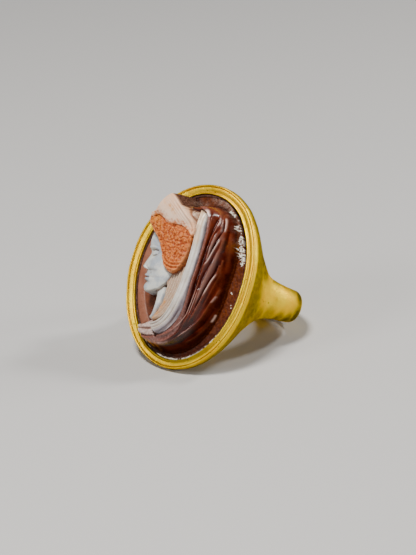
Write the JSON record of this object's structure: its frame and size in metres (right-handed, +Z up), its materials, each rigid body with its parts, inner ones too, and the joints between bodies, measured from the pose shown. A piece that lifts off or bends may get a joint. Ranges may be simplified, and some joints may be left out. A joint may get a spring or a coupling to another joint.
{
  "type": "cameo finger ring",
  "caption": "Gold finger ring with a rounded hoop, a deep oval bezel with a moulded rim, and a carved stone in high relief of a veiled head in profile.",
  "frame": {"origin": "on the floor, in the middle of the box round the ring as it lies", "axes": "+Z up; +X across the bezel; the bezel's face looks towards -Y and up, and the back of the hoop is towards +Y"},
  "size_m": [0.0206, 0.0258, 0.0234],
  "materials": {
    "gold": "worn satin high-carat gold",
    "sardonyx": "polished layered hardstone",
    "cement": "matt, crusty"
  },
  "bodies": {
    "root": {"gold_ring": "gold", "cameo_stone": "sardonyx", "bedding": "cement"}
  },
  "joints": []
}
